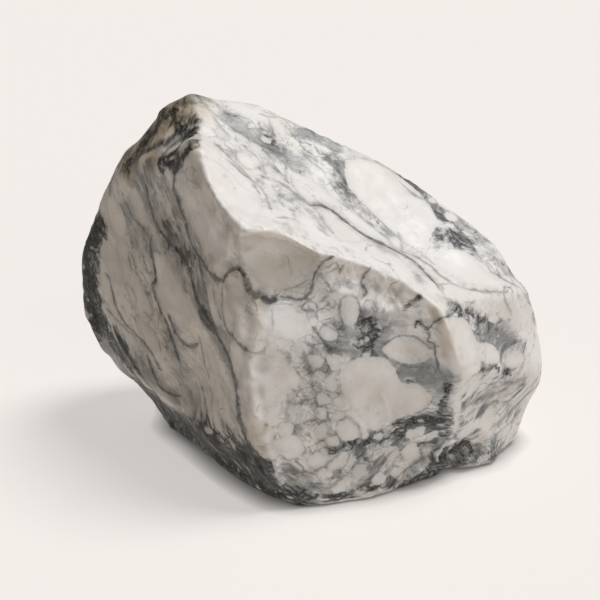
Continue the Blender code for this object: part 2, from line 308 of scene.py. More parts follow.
# Dark, speckled bands: half width in millimetres, strength, then pixels. A strength above 1 covers fully, and
# reaches further out.
BANDS = {
    # Partly the stone's dark band at the foot, partly painted contact shade where it meets the floor.
    "foot, below the edge": (11, 1.8, [(222, 456), (240, 468), (254, 477)]),
    "foot, below the edge, end": (9, 1.4, [(262, 483), (278, 493), (292, 499), (306, 500)]),
    # Partly dark marble, partly painted shadow in the groove and under the overhang of the fold.
    "groove": (6, 2.4, [(458, 449), (452, 454), (444, 461), (435, 468)]),
    "groove, outer end": (5, 1.2, [(404, 486), (416, 481), (430, 476), (444, 471)]),
    "top, middle": (5, 0.38, [(330, 156), (338, 166), (342, 178), (344, 190), (349, 200)]),
    "right wedge": (6, 0.8, [(405, 182), (414, 190), (424, 200), (434, 210), (444, 222)]),
    "cluster below the peak": (4.5, 1.7, [(193, 121), (190, 132), (186, 143), (180, 152), (174, 160)]),
    "under the peak": (7, 0.8, [(172, 110), (167, 117), (160, 124), (150, 136), (141, 147), (131, 158)]),
    "cluster, arm": (4, 1.2, [(178, 152), (169, 157), (161, 163)]),
    "under the peak, middle": (6, 1.0, [(180, 128), (170, 136), (160, 144), (150, 152)]),
    "right foot": (5, 0.7, [(474, 460), (486, 458), (500, 450)]),
    "right patch, tail": (3, 0.5, [(440, 246), (432, 250)]),
    "main vein's upper part": (6, 0.75, [(172, 244), (182, 254), (192, 264)]),
    "blot on the main vein": (4, 1.3, [(205, 315), (211, 325)]),
    "left end": (10, 1.8, [(87, 232), (86, 250), (84, 268), (86, 284), (89, 300), (94, 318)]),
    "left end, blotch": (5, 0.9, [(99, 310), (104, 322), (107, 332)]),
    "left end, lower": (5, 1.0, [(112, 338), (118, 350), (124, 360), (132, 370)]),
    "blot under the ledge": (4, 1.2, [(122, 343), (127, 349)]),
    # Partly the stone's dark band at the foot, partly painted contact shade where it meets the floor.
    "foot of the left wall": (10, 2.3, [
        (150, 404), (162, 418), (176, 430), (192, 440), (210, 448), (226, 458),
    ]),
    "blot of the wavy vein": (2, 1.1, [(264, 298), (270, 301), (275, 300)]),
    "far rim": (2.5, 0.25, [(304, 132), (318, 137), (332, 142), (350, 150), (368, 158)]),
    "right patch": (9, 0.8, [(436, 231), (448, 234), (460, 239)]),
    "right rim": (4, 0.35, [(476, 234), (492, 250), (504, 266), (518, 284)]),
    "front, dark patch": (12, 0.7, [(364, 320), (376, 328), (372, 340), (362, 348)]),
    "front, spots": (7, 0.55, [(326, 346), (340, 350), (352, 352)]),
    "black patch": (3, 0.9, [(405, 308), (412, 302), (420, 297)]),
    "speckled band": (4, 0.5, [(394, 370), (402, 376), (410, 380)]),
    "low front": (12, 0.42, [
        (316, 462), (340, 470), (360, 458), (380, 452), (402, 448), (424, 444), (446, 436),
    ]),
    "low front, foot": (6, 0.7, [(298, 496), (316, 498), (338, 494), (360, 490), (384, 486), (408, 478)]),
    "knob, top": (6, 0.7, [(458, 309), (470, 313), (484, 320), (496, 330)]),
    "knob, below": (3.5, 0.7, [(480, 371), (494, 370), (508, 373)]),
    "knob, right spots": (3, 0.9, [(526, 360), (529, 368), (528, 376)]),
    "top, along the ridge": (9, 0.42, [(205, 108), (230, 118), (255, 130), (275, 145), (287, 157)]),
    "beside the great clast": (4.5, 0.9, [(448, 386), (446, 396), (443, 405), (437, 415)]),
    "below the great clast": (11, 1.0, [(404, 424), (420, 420), (440, 420), (448, 426)]),
    "below the great clast, left": (7, 0.85, [
        (404, 428), (386, 434), (362, 442), (346, 444), (334, 450),
    ]),
    "front, small clasts": (12, 0.38, [
        (318, 362), (320, 380), (322, 398), (322, 416), (330, 438), (326, 460),
    ]),
}

# Soft grey clouds, without specks: half width in millimetres, strength, then pixels. Two are painted shade.
CLOUDS = {
    "right rim": (5, 0.7, [
        (452, 218), (470, 230), (486, 246), (500, 264), (514, 280), (526, 294), (533, 308),
    ]),
    "facets under the rim": (11, 0.4, [(346, 276), (366, 286), (388, 296), (406, 306)]),
    "left of the upright edge": (6, 0.5, [(228, 342), (232, 362), (233, 384), (234, 400)]),
    "near the peak": (8, 0.35, [(208, 120), (222, 130), (238, 138)]),
    "top, along the near rim": (7, 0.3, [(248, 208), (264, 214), (282, 222), (300, 232)]),
    "low front, left": (10, 0.7, [(286, 418), (292, 434), (304, 450)]),
    "foot, front": (11, 0.9, [(272, 452), (286, 468), (306, 484)]),
    "front, spots": (7, 0.6, [(330, 352), (350, 354), (374, 352)]),
    # Painted shade where the top of the upright edge turns away from the light.
    "above the upright edge": (6, 0.5, [(246, 302), (249, 316), (250, 330)]),
    "ledge, low": (9, 0.9, [(138, 362), (150, 377), (164, 389), (176, 399)]),
    "front, dark patch, low": (11, 1.4, [(334, 336), (348, 345), (366, 350), (382, 350)]),
    "beside the knob": (7, 0.5, [(412, 300), (421, 316), (428, 332), (432, 346)]),
    # Painted shade on the facet of the fan that is turned from the light.
    "fan, dark facet": (5, 0.5, [(392, 286), (397, 296), (404, 305)]),
    "below the peak": (14, 1.9, [(176, 108), (166, 118), (156, 130), (146, 142)]),
    "far rim": (5, 1.5, [(294, 130), (308, 134), (322, 139), (334, 146)]),
    "between the strands": (6, 1.4, [(208, 312), (214, 328), (222, 342), (229, 356)]),
    "flow of the left wall": (12, 1.5, [
        (142, 174), (154, 192), (164, 210), (174, 228), (184, 244), (192, 258),
    ]),
    "flow, narrow": (6, 1.3, [(192, 270), (196, 288), (203, 304), (210, 320)]),
    "upper left patch": (9, 0.8, [(132, 230), (142, 238), (150, 246)]),
    "around the blot": (6, 0.4, [(260, 288), (268, 289), (278, 292)]),
    "front, dark patch": (13, 0.9, [(366, 320), (382, 322), (380, 336), (364, 344)]),
    "above the great clast": (11, 1.2, [(396, 370), (414, 374), (430, 376), (442, 386)]),
    "under the wavy vein": (8, 0.3, [(262, 346), (276, 350), (290, 356)]),
    "left end, low": (9, 0.9, [(100, 340), (112, 354), (126, 372), (140, 388)]),
    "left end, beside the black": (6, 0.6, [(92, 312), (100, 326), (108, 342)]),
    "knob": (9, 1.6, [(488, 332), (500, 341), (511, 348), (505, 355)]),
    "top, web": (14, 0.35, [(228, 146), (246, 160), (264, 176), (282, 190)]),
    "top, along the ridge": (8, 0.9, [
        (226, 116), (240, 124), (252, 134), (266, 146), (282, 156), (298, 164),
    ]),
    "top, middle": (6, 1.1, [(340, 170), (344, 188), (352, 203), (366, 216), (382, 231)]),
    "low end": (12, 0.3, [(474, 420), (498, 404), (520, 388)]),
    "cloud, upper left": (14, 0.7, [(128, 214), (136, 232), (146, 244)]),
    "smooth patch, low": (14, 0.7, [(172, 340), (180, 362), (186, 385), (196, 402)]),
    "beside the upright line": (7, 0.5, [(311, 280), (316, 272), (320, 268)]),
    "front, faint": (16, 0.15, [(262, 342), (280, 354), (298, 366)]),
    "front, column": (14, 0.6, [(314, 352), (320, 376), (322, 400), (324, 424)]),
    "top, between the slabs": (4, 0.6, [
        (296, 196), (312, 205), (330, 211), (350, 223), (370, 238), (392, 249),
    ]),
    "top, below the slabs": (4, 0.4, [(312, 210), (320, 224), (328, 236)]),
    "top, green-grey patch": (11, 0.6, [(284, 150), (292, 158)]),
    "low front": (18, 0.3, [(306, 466), (340, 470), (376, 460), (410, 450)]),
    "foot": (9, 0.6, [(450, 458), (474, 450), (496, 446)]),
}

# Webs of grey lines between small clasts: half width in millimetres, strength, then pixels.
WEBS = {
    "top, left": (18, 0.35, [(226, 138), (242, 150), (256, 166), (268, 182), (276, 198)]),
    "top, middle": (14, 0.4, [(280, 150), (290, 168), (296, 186)]),
    "top, far rim": (12, 0.8, [(300, 136), (322, 150), (334, 170), (346, 194), (366, 212)]),
    "right end": (10, 0.35, [(452, 232), (476, 246), (496, 268), (516, 292)]),
    "front, upper": (18, 0.8, [(304, 304), (322, 316), (330, 336), (316, 352)]),
    "front, column": (18, 0.8, [(312, 356), (316, 380), (316, 404), (318, 426)]),
    "low front": (18, 0.6, [(286, 440), (316, 456), (350, 466), (384, 460), (416, 446)]),
    "low front, left": (14, 0.5, [(292, 412), (296, 436), (306, 460)]),
    "left wall": (18, 0.5, [(120, 230), (134, 262), (146, 300), (160, 336)]),
    "knob": (10, 0.8, [(462, 314), (484, 324), (500, 336)]),
    "foot": (12, 0.8, [(456, 462), (480, 454), (500, 442)]),
}

# Brushed places, with silky streaks: half width in millimetres, strength, then pixels.
BRUSHED = {
    "foot, front": (10, 0.8, [(274, 456), (290, 474), (312, 488)]),
    "fold": (7, 0.9, [(398, 486), (416, 472), (434, 456), (448, 444)]),
    "right rim": (5, 0.3, [(474, 232), (494, 254), (512, 276), (528, 298), (538, 326), (538, 352)]),
    "peak": (10, 1.0, [(176, 108), (166, 122), (154, 136), (138, 152)]),
    "low end": (20, 1.0, [(466, 418), (486, 402), (508, 390), (528, 378)]),
    "low end, below": (14, 0.9, [(478, 440), (500, 426), (518, 408)]),
    "right foot": (10, 0.9, [(456, 464), (480, 456), (500, 444)]),
    "low front": (15, 0.45, [(330, 478), (360, 468), (390, 458), (424, 446)]),
    "top, middle": (7, 0.5, [(336, 160), (345, 184), (356, 206), (378, 226)]),
    "left wall, main": (10, 0.6, [(158, 190), (168, 216), (178, 240), (190, 268)]),
}

# Pale strokes, laid over the dark ones, some of them painted highlights: half width in millimetres, strength,
# then pixels.
PALES_AND_HIGHLIGHTS = {
    "far rim, left": (6, 0.9, [(238, 105), (256, 110), (276, 118), (290, 125)]),
    "below the right clast": (7, 0.7, [(440, 285), (460, 296), (484, 300), (508, 303)]),
    "far rim": (2.5, 0.5, [(350, 150), (364, 156), (380, 164)]),
    # Painted highlight along the lip of the fold, where the light catches it.
    "lip of the fold": (3.5, 0.7, [(459, 394), (457, 410), (456, 428)]),
    "lip of the fold, low": (2, 0.6, [(450, 438), (444, 446), (438, 454)]),
    "slab on top": (5, 0.8, [(326, 216), (340, 228), (352, 237)]),
    "lens on top": (5, 0.8, [(300, 182), (326, 198), (350, 218), (372, 234)]),
    # Painted highlight on the front's side of the upright edge, which is lit.
    "front, beside the edge": (14, 1.1, [(262, 344), (262, 370), (262, 400), (266, 430)]),
    "near the peak": (8, 0.6, [(206, 112), (206, 126), (212, 140)]),
    "low front, streak": (2.5, 0.6, [(354, 484), (360, 476), (366, 466)]),
    "low front, streak 2": (2.5, 0.6, [(368, 468), (378, 456), (390, 446)]),
    "low front, left": (8, 0.5, [(300, 462), (314, 470), (328, 470)]),
    "low end, white 1": (3, 1.0, [(469, 416), (474, 411), (479, 405)]),
    "low end, white 2": (3, 1.0, [(484, 436), (491, 434)]),
    "low end, left": (5, 0.7, [(456, 398), (464, 392), (476, 384), (490, 380)]),
    "low end, middle": (4, 1.0, [(464, 432), (476, 424), (488, 420), (500, 414)]),
    "low end, right": (5, 0.7, [(504, 434), (514, 424), (524, 412), (532, 396)]),
    # Painted highlight on the right side, which faces the light.
    "right side": (9, 1.4, [(520, 300), (528, 300), (537, 330), (538, 350), (534, 366)]),
    "peak, tan streak": (3, 0.7, [(142, 160), (152, 154), (162, 151)]),
    "peak, tan streak 2": (3, 0.6, [(152, 142), (160, 137), (170, 133)]),
    "peak, fleck": (2.5, 0.8, [(182, 147), (186, 141)]),
}

# Clasts, which other markings hardly cross: tone from 0, white, to 1, grey, then the pixels of the outline.
CLASTS = {
    # The brow's grey tone is painted shade: the brow faces down, away from the light.
    "brow": (0.42, [
        (231, 234), (246, 234), (262, 235), (282, 238), (298, 245), (313, 255), (317, 266), (310, 280),
        (294, 290), (276, 290), (260, 284), (248, 271), (237, 256),
    ]),
    "lens on top": (0.0, [
        (290, 172), (302, 176), (318, 184), (332, 195), (346, 207), (362, 219), (378, 232), (390, 245),
        (378, 240), (364, 231), (350, 221), (336, 209), (322, 203), (308, 200), (296, 189),
    ]),
    "slab on top": (0.0, [
        (318, 209), (328, 210), (345, 224), (362, 237), (366, 242), (350, 243), (335, 238), (326, 226),
    ]),
    "great clast on top": (0.0, [
        (345, 160), (362, 160), (380, 165), (396, 174), (410, 185), (424, 198), (435, 215), (438, 225),
        (428, 240), (425, 250), (400, 240), (380, 220), (365, 205), (350, 190), (345, 175),
    ]),
    "white of the upper face": (0.0, [
        (204, 158), (216, 160), (228, 170), (244, 186), (258, 194), (262, 210), (252, 226), (236, 216),
        (222, 200), (210, 184), (204, 170),
    ]),
    "right clast": (0.0, [
        (432, 258), (445, 251), (460, 250), (475, 258), (482, 268), (495, 277), (512, 284), (505, 287),
        (490, 288), (470, 285), (455, 279), (440, 270),
    ]),
    "small right clast": (0.0, [(443, 213), (450, 212), (456, 215), (459, 220), (452, 221), (446, 218)]),
    "great clast of the front": (0.06, [
        (340, 375), (345, 364), (358, 357), (372, 356), (385, 358), (396, 370), (402, 382), (418, 384),
        (425, 388), (431, 399), (423, 409), (410, 415), (400, 419), (384, 424), (375, 431), (366, 426),
        (356, 414), (346, 402),
    ]),
    "lens clast": (0.05, [
        (380, 350), (388, 342), (405, 337), (420, 340), (430, 350), (428, 358), (415, 364), (395, 360),
    ]),
    "knob": (0.0, [
        (438, 328), (448, 318), (460, 318), (470, 326), (477, 340), (478, 356), (469, 368), (456, 374),
        (446, 364), (440, 346),
    ]),
    "knob's right clast": (0.05, [
        (478, 344), (488, 342), (499, 352), (497, 363), (484, 364), (476, 356),
    ]),
    "round clast": (0.05, [(506, 356), (514, 350), (522, 352), (524, 361), (516, 368), (507, 366)]),
    "knob's fleck": (0.0, [(489, 316), (495, 314), (498, 319), (494, 323), (488, 321)]),
    "front, white": (0.0, [
        (262, 306), (282, 304), (300, 308), (308, 320), (304, 336), (286, 342), (268, 336), (260, 322),
    ]),
    "front, low white": (0.0, [
        (258, 362), (276, 358), (294, 368), (300, 384), (284, 392), (276, 404), (264, 400), (256, 382),
    ]),
    "clast with the outline": (0.05, [
        (343, 300), (350, 298), (357, 302), (359, 312), (356, 322), (346, 326), (341, 314),
    ]),
    "chip by the groove": (0.0, [(462, 414), (470, 407), (473, 411), (466, 420)]),
    "chip on the low end": (0.0, [(482, 432), (490, 429), (494, 436), (487, 441)]),
}
# Small rounded clasts: pixel of the middle, half length and half height in pixels, turn in degrees, tone.
PEBBLES = [
    (316, 361, 9, 7, 20, 0.3), (334, 362, 8, 9, 0, 0.2), (319, 376, 6, 7, 30, 0.3),
    (331, 384, 5, 8, 0, 0.2), (323, 399, 6, 6, 0, 0.2), (340, 403, 6, 5, 30, 0.15),
    (338, 415, 7, 5, -20, 0.15), (297, 411, 10, 8, 30, 0.35), (322, 414, 6, 7, -20, 0.1),
    (322, 431, 6, 9, 10, 0.1), (333, 441, 7, 6, 0, 0.15), (348, 430, 11, 11, 0, 0.0),
    (364, 434, 6, 6, 0, 0.0), (378, 436, 6, 3, -20, 0.25), (268, 434, 7, 7, 0, 0.0),
    (291, 447, 14, 12, -20, 0.05), (318, 460, 12, 7, -30, 0.1), (337, 462, 13, 7, -35, 0.1),
    (339, 486, 9, 7, 0, 0.0), (379, 479, 8, 6, -30, 0.0), (397, 473, 7, 6, 0, 0.0),
    (411, 452, 10, 9, 0, 0.08), (416, 432, 12, 5, -25, 0.1), (392, 452, 9, 6, -30, 0.2),
    (303, 384, 6, 5, 20, 0.4), (360, 470, 8, 6, -30, 0.2), (432, 436, 8, 4, -35, 0.25),
    (329, 334, 9, 8, 0, 0.15), (300, 350, 8, 7, 0, 0.2), (286, 430, 8, 7, 0, 0.15),
    (272, 452, 8, 7, 0, 0.2), (252, 126, 4, 3, 20, 0.0), (209, 431, 5, 3, 30, 0.1),
    (184, 146, 4, 3, -40, 0.1), (172, 158, 4, 2, -30, 0.1), (432, 201, 5, 3, 30, 0.0),
    (248, 164, 16, 6, 38, 0.0), (268, 170, 7, 4, 30, 0.0), (231, 146, 7, 3, 35, 0.05),
    (241, 137, 8, 3, 32, 0.05), (256, 148, 7, 4, 40, 0.05), (278, 178, 6, 4, 35, 0.05),
    (222, 134, 8, 3, 28, 0.1), (266, 140, 7, 3, 30, 0.05), (88, 315, 6, 4, 0, 0.6),
    (462, 322, 7, 4, 20, 0.0), (484, 458, 9, 4, -20, 0.2),
]
# Long clasts of the left wall, given in the same way.
SLIVERS = [
    (139, 208, 20, 6, 70, 0.1), (116, 218, 26, 8, 75, 0.1), (112, 262, 24, 8, 70, 0.12),
    (136, 292, 34, 9, 68, 0.12), (172, 296, 42, 13, 66, 0.1), (122, 250, 14, 6, 80, 0.15),
    (148, 336, 22, 6, 58, 0.15), (196, 330, 26, 6, 66, 0.15), (162, 208, 15, 4, 72, 0.3),
    (212, 236, 34, 15, 66, 0.05), (214, 306, 22, 6, 74, 0.1), (236, 300, 18, 10, 80, 0.05),
    (240, 380, 40, 9, 84, 0.05), (212, 360, 20, 5, 70, 0.15), (164, 366, 12, 4, 60, 0.2),
    (190, 200, 20, 7, 66, 0.08),
]

# Warm, tan tints: half width in millimetres, strength, then pixels. Most are painted warm shade.
WARM_TONE_AND_SHADE = {
    # Painted warm shade on faces turned from the light: the upright edge, the near rim, the fan, the peak,
    # the brow, the flakes, the knob and the left wall.
    "above the upright edge": (9, 0.8, [(256, 300), (256, 316), (254, 334)]),
    "left of the near rim": (9, 0.9, [
        (184, 122), (189, 150), (195, 178), (206, 203), (220, 225), (236, 240),
    ]),
    "fan, dark facet": (8, 0.7, [(391, 282), (396, 296), (404, 306)]),
    "great clast of the front": (22, 0.4, [(360, 376), (376, 392), (400, 400), (422, 398)]),
    "lens clast": (10, 0.4, [(392, 350), (408, 350), (422, 350)]),
    "peak, left": (14, 2.2, [(172, 112), (160, 124), (146, 140), (132, 156)]),
    "under the peak": (11, 1.6, [(180, 104), (172, 112), (158, 132), (150, 156)]),
    "below the brow": (15, 0.75, [
        (250, 238), (270, 236), (292, 242), (310, 252), (290, 262), (266, 266), (258, 280),
    ]),
    "flakes": (9, 0.6, [(340, 270), (360, 276), (385, 286), (412, 294)]),
    "knob, shaded side": (8, 1.0, [(436, 312), (444, 330), (446, 350)]),
    "left wall": (60, 0.9, [(112, 220), (140, 300), (180, 390), (215, 430), (200, 330), (170, 230)]),
}

# The sides that the camera doesn't see get markings of the same kinds, placed by seeded chance.
HIDDEN_SEED = 5
HIDDEN_VEINS = 56
VEIN_LENGTHS = (50, 240)  # in millimetres
VEIN_HALVES = (0.6, 0.8, 1.0, 1.2, 1.8)  # half widths in millimetres
VEIN_DARKNESS = (0.4, 0.9)  # as in VEINS
HIDDEN_CLASTS = 60
CLAST_RADII = (6, 8, 10, 14, 20, 28)  # in millimetres
CLAST_SIZES = (0.8, 1.2)  # a clast's radius is varied by this much
CLAST_FLATNESS = (1.2, 2.2)  # how many times wider than thick
CLAST_TONES = (0, 0.15)  # as in CLASTS
# The kinds of soft strokes: the named ones, then how many more are added out of view, with the ranges of
# those ones' lengths in millimetres, half widths in millimetres and strengths.
SOFT_STROKES = {
    "bands": (BANDS, 18, (40, 200), (4, 12), (0.6, 1.0)),
    "clouds": (CLOUDS, 14, (40, 160), (10, 24), (0.4, 0.8)),
    "webs": (WEBS, 14, (60, 160), (14, 30), (0.6, 1.0)),
    "brushed": (BRUSHED, 8, (50, 140), (10, 24), (0.6, 1.0)),
    "tone_and_shade": (WARM_TONE_AND_SHADE, 0, (0, 0), (0, 0), (0, 0)),
    "pale": (PALES_AND_HIGHLIGHTS, 0, (0, 0), (0, 0), (0, 0)),
}
ZONES = ("bands", "clouds", "tone_and_shade", "webs")  # the four that share one attribute

# How the markings are laid on the stone.
BEDDING = Vector((0.207, -0.70, 0.68))  # the normal of the layers that the clasts are flattened in
FLATTENED = 1.8  # how many times wider than thick the clasts of webs and bands are
TWISTS = [  # where the layers are turned: pixel of the middle, radius in millimetres, turn in degrees
    (376, 462, 110, -42),
    (505, 400, 60, 12),
]
VEIN_GROUPS = 7  # each group of veins is one attribute
GROUP_GAP = 13 * MM  # two veins of one group are at least this far apart
LEAST_FACING, WIDENING = 0.35, 0.8  # how much wider a stroke is made where the stone is seen aslant
NO_VEIN = 1.0  # the distance given where there is no vein near
TAPER, TAPER_END = 10, 0.25  # how quickly a vein widens from each end, and how far along it starts
PLACES = 8  # about how many places of a stroke are looked at for how aslant it is seen
TINY = 1e-12  # the least squared length of a step, so that nothing is divided by nought
CLEAR = 2  # how far off the surface a line of sight starts, in millimetres
REACH = 30 * MM  # how far from a stroke its distance is worked out
TRIES, DRAWN_IN = 40, 0.01  # how often a pixel off the stone is moved, and how far towards the middle
GRAZING, SOFTNESS = 0.02, 0.15  # how far a face is turned to the camera to be seen, and how softly it fades
OUT_OF_VIEW, HALF_IN_VIEW = 0.05, 0.4  # how far a point is in view where a path may start, and where it ends
CLAST_IN_VIEW = 0.3  # how far in view a clast placed by chance may reach
ABOVE_GROUND = 5 * MM  # no path starts lower than this
STEP = 6 * MM  # one step of a path that wanders over the stone
FIRST_TURN, TURN = 0.35, 0.22  # how much such a path strays, in radians, at its start and at each step
OUTLINE_SIDES = 12  # corners of a rounded clast's outline
OUTLINE_UNEVEN = (0.88, 1.1)  # how far out each of them may be
TURNED, COMING = 0.1, 0.45  # where a soft stroke ends as the stone turns from it, and how softly it does


def pixel_ray(u, v):
    """The direction in which the camera sees a pixel."""
    right = Vector((1, 0, 0)) * ((u - MIDDLE) / FOCAL)
    return (AHEAD + right - UP * ((v - MIDDLE) / FOCAL)).normalized()


def pixels_of(points):
    """Where the camera sees points of the stone."""
    off = points - np.array(CAMERA)
    depth = off @ np.array(AHEAD)
    rise = off @ np.array(UP)
    return np.stack([MIDDLE + FOCAL * off[:, 0] / depth, MIDDLE - FOCAL * rise / depth], axis=1)


def on_stone(tree, u, v):
    """The place on the stone that a pixel shows. A pixel just off the stone is drawn in until it meets it."""
    for _ in range(TRIES):
        place = tree.ray_cast(CAMERA, pixel_ray(u, v))[0]
        if place is not None:
            return place
        u += (MIDDLE - u) * DRAWN_IN
        v += (MIDDLE - v) * DRAWN_IN
    raise ValueError(f"pixel {u:.0f}, {v:.0f} isn't on the stone")


def between(a, b, c, d, t):
    """The value at share t of the way from b to c, on a smooth curve that comes from a and goes on to d."""
    return 0.5 * (2 * b + (c - a) * t + (2 * a - 5 * b + 4 * c - d) * t**2 + (3 * b - a - 3 * c + d) * t**3)


def curved(points, steps=4):
    """More points, on a smooth curve through the given ones."""
    knots = [points[0], *points, points[-1]]
    out = []
    for four in zip(knots, knots[1:], knots[2:], knots[3:]):
        out += [tuple(between(*along, i / steps) for along in zip(*four)) for i in range(steps)]
    return [*out, tuple(points[-1])]


def path_on_stone(tree, pixels, closed=False):
    if closed:
        pixels = [*pixels, pixels[0]]
    return np.array([on_stone(tree, u, v) for u, v in curved(pixels)])


def true_half(tree, path, half):
    """The half width in metres of a stroke that the picture shows with this one in millimetres: more where
    the stone is seen aslant."""
    facing = []
    for p in path[:: max(1, len(path) // PLACES)]:
        way = tree.find_nearest(Vector(p))[1]
        facing.append(abs(way.dot((CAMERA - Vector(p)).normalized())))
    return half * MM / max(sum(facing) / len(facing), LEAST_FACING) ** WIDENING


def strokes_on_stone(tree, strokes):
    """Named strokes as path, half width and strength, all on the stone."""
    out = []
    for half, strength, pixels in strokes.values():
        path = path_on_stone(tree, pixels)
        out.append((path, true_half(tree, path, half), strength))
    return out


def tree_of(body):
    """A body's surface, ready to be searched."""
    bpy.context.view_layer.update()
    return BVHTree.FromObject(body, bpy.context.evaluated_depsgraph_get())


def cover(cad):
    """The fine mesh: an even grid, cast from inside onto the part's solid and smoothed."""
    tree = tree_of(cad)
    mesh = bmesh.new()
    bmesh.ops.create_cube(mesh, size=2)
    bmesh.ops.subdivide_edges(mesh, edges=mesh.edges, cuts=GRID - 1, use_grid_fill=True)
    for vert in mesh.verts:
        way = Vector([math.tan(c * math.pi / 4) for c in vert.co]).normalized()
        vert.co = tree.ray_cast(INSIDE, way)[0]
    passes, share = SMOOTHING
    for _ in range(passes):
        bmesh.ops.smooth_vert(
            mesh, verts=mesh.verts, factor=share, use_axis_x=True, use_axis_y=True, use_axis_z=True
        )
    data = bpy.data.meshes.new("marble_stone")
    mesh.to_mesh(data)
    mesh.free()
    data.shade_smooth()
    return data


def coords(data):
    out = np.empty(len(data.vertices) * 3)
    data.vertices.foreach_get("co", out)
    return out.reshape(-1, 3)


def normals(data):
    out = np.empty(len(data.vertices) * 3)
    data.vertex_normals.foreach_get("vector", out)
    return out.reshape(-1, 3)


def near(points, path, reach):
    """The numbers of the points that may be within reach of a path."""
    low, high = path.min(axis=0) - reach, path.max(axis=0) + reach
    return np.flatnonzero(((points > low) & (points < high)).all(axis=1))


def from_path(points, path):
    """For each point: its distance from the path, how far along the path it is from 0 to 1, the way from the
    path to it, and the path's direction there."""
    start, step = path[:-1], path[1:] - path[:-1]
    squared = np.maximum((step**2).sum(axis=1), TINY)
    off = points[:, None, :] - start
    share = np.clip((off * step).sum(axis=2) / squared, 0, 1)
    gap = off - share[:, :, None] * step
    distance = np.sqrt((gap**2).sum(axis=2))
    rows = np.arange(len(points))
    best = distance.argmin(axis=1)
    along = (best + share[rows, best]) / len(step)
    return distance[rows, best], along, gap[rows, best], step[best]


def softly(x):
    """0 up to 0, 1 from 1, and a smooth rise between them."""
    x = np.clip(x, 0, 1)
    return x * x * (3 - 2 * x)


def noise_at(points, length):
    return np.array([noise.noise(Vector(p) / length) for p in points])


def sharpness(data, points, ways):
    """How far each point stands out from the smoothed surface around it."""
    ends = np.empty(len(data.edges) * 2, dtype=np.int64)
    data.edges.foreach_get("vertices", ends)
    a, b = ends.reshape(-1, 2).T
    count = np.bincount(ends, minlength=len(points))[:, None]
    smooth = points.copy()
    for _ in range(SHARP_PASSES):
        total = np.zeros_like(smooth)
        np.add.at(total, a, smooth[b])
        np.add.at(total, b, smooth[a])
        smooth = total / count
    return ((points - smooth) * ways).sum(axis=1)


def all_scoops(data, points, ways, tree):
    """The named scoops, small ones scattered over the stone, and chips off its sharp edges."""
    scoops = [(np.array(on_stone(tree, u, v)), r, d) for group in SCOOPS.values() for u, v, r, d in group]
    sharp = sharpness(data, points, ways)
    anywhere = np.arange(len(points))
    edges = np.flatnonzero(sharp > np.quantile(sharp, SHARP))
    for places, (count, radii, share, seed) in ((anywhere, SCATTERED), (edges, CHIPS)):
        chance = random.Random(seed)
        for _ in range(count):
            radius = chance.uniform(*radii)
            middle = points[chance.choice(places)]
            scoops.append((middle, radius, radius * share * chance.uniform(*DEPTHS)))
    return scoops


def carve(data, tree):
    """Scoops, ridges and unevenness, each along the surface's own normal. The foot stays flat."""
    points, ways = coords(data), normals(data)
    depth = np.zeros(len(points))
    for middle, radius, deepest in all_scoops(data, points, ways, tree):
        off = ((points - middle) ** 2).sum(axis=1) / (radius * MM) ** 2
        depth = np.maximum(depth, deepest * MM * np.clip(1 - off, 0, None))
    for half_width, height, pixels in RIDGES.values():
        path = path_on_stone(tree, pixels)
        close = near(points, path, half_width * MM)
        distance = from_path(points[close], path)[0]
        depth[close] -= height * MM * softly(1 - distance / (half_width * MM))
    for length, height in UNEVENNESS:
        depth += noise_at(points, length * MM) * height * MM
    freedom = np.clip(FOOT_BLEND * (1 + ways[:, 2]), 0, 1)
    points = points - ways * (depth * freedom)[:, None]
    points = np.clip(points, np.array(cad_box[0]), np.array(cad_box[1]))
    data.vertices.foreach_set("co", points.ravel())
    data.update()


def seen_from_camera(points, ways, tree):
    """1 where the camera sees a point plainly, 0 where it is hidden, soft between them."""
    toward = np.array(CAMERA) - points
    toward /= np.linalg.norm(toward, axis=1)[:, None]
    seen = softly(((toward * ways).sum(axis=1) - GRAZING) / SOFTNESS)
    for i in np.flatnonzero(seen > 0):
        start = Vector(points[i]) + Vector(ways[i]) * CLEAR * MM
        if tree.ray_cast(start, CAMERA - start)[0] is not None:
            seen[i] = 0
    return seen


def wander(tree, start, turn, length, is_hidden):
    """A path that follows the stone's layers, straying a little. It stops where it would come into view."""
    chance = random.Random(turn)
    place, way = tree.find_nearest(start)[:2]
    path = [place]
    heading = BEDDING.cross(way).normalized() * chance.choice((-1, 1))
    heading.rotate(Quaternion(way, chance.gauss(0, FIRST_TURN)))
    for _ in range(int(length / STEP)):
        heading.rotate(Quaternion(way, chance.gauss(0, TURN)))
        place, way = tree.find_nearest(path[-1] + heading * STEP)[:2]
        heading = (heading - way * heading.dot(way)).normalized()
        path.append(place)
        if not is_hidden(place):
            break
    return np.array(curved([tuple(p) for p in path], 2))


def hidden_paths(tree, points, seen, count, lengths, seed):
    """Paths that start where the camera doesn't see the stone."""
    chance = random.Random(seed)
    hidden = [i for i in np.flatnonzero(seen < OUT_OF_VIEW) if points[i][2] > ABOVE_GROUND]
    shortest, longest = (length * MM for length in lengths)

    def is_hidden(place):
        return seen[((points - np.array(place)) ** 2).sum(axis=1).argmin()] < HALF_IN_VIEW

    paths = []
    for i in range(count):
        start = Vector(points[chance.choice(hidden)])
        paths.append(wander(tree, start, seed * 1000 + i, chance.uniform(shortest, longest), is_hidden))
    return paths


def grouped(veins):
    """Shares the veins out between the groups, so that two veins of one group are never close."""
    groups = [[] for _ in range(VEIN_GROUPS)]
    for vein in veins:
        crowding = []
        for group in groups:
            gaps = [from_path(vein[0], other[0])[0].min() for other in group] or [NO_VEIN]
            crowding.append(min(gaps))
            if crowding[-1] > GROUP_GAP:
                break
        groups[int(np.argmax(crowding))].append(vein)
    return groups


